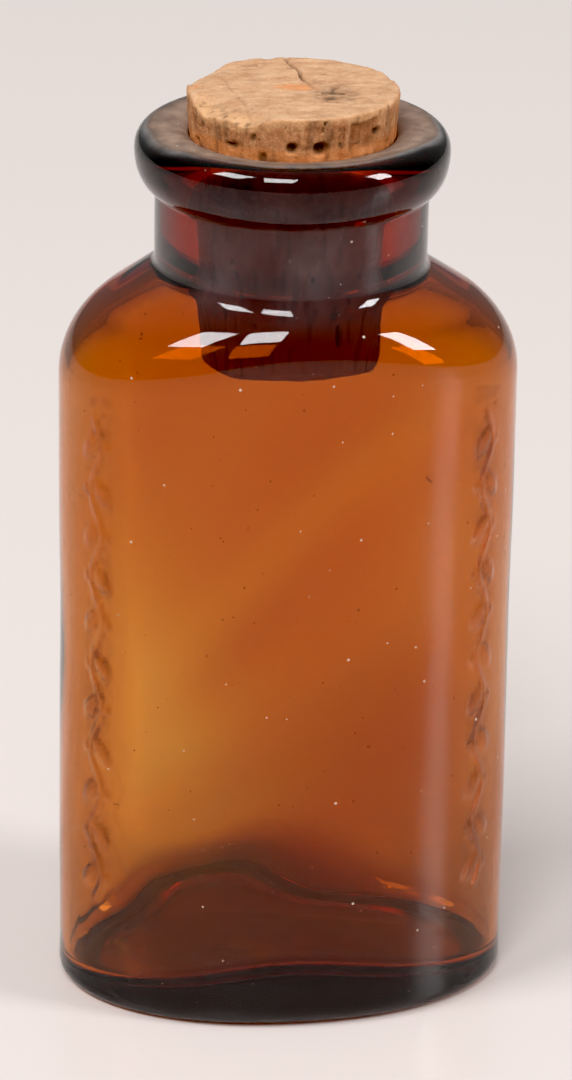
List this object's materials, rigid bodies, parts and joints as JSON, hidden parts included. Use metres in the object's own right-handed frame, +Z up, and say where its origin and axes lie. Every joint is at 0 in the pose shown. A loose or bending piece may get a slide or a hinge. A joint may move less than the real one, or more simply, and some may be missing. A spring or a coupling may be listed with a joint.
{
  "type": "medicine bottle",
  "caption": "Upright oval amber glass medicine bottle with sloping shoulders, a round neck with a rolled lip, and a tapered cork stopper that pulls out.",
  "frame": {"origin": "middle of the bottle's base, on the surface that it stands on", "axes": "+Z up along the bottle's axis and out of its mouth; the broad front looks along -Y; the width runs along X"},
  "size_m": [0.042, 0.0298, 0.0857],
  "materials": {
    "amber_glass": "clear amber-brown mould-blown glass, glossy, with slight waviness",
    "cork": "natural cork, dry and matt, with dark pores and worn edges"
  },
  "bodies": {
    "bottle": {"glass_bottle": "amber_glass"},
    "cork": {"cork_stopper": "cork"}
  },
  "joints": [
    {"name": "cork_pull", "type": "slide", "parent": "bottle", "child": "cork", "axis": [0, 0, 1], "range_m": [0, 0.03]}
  ]
}
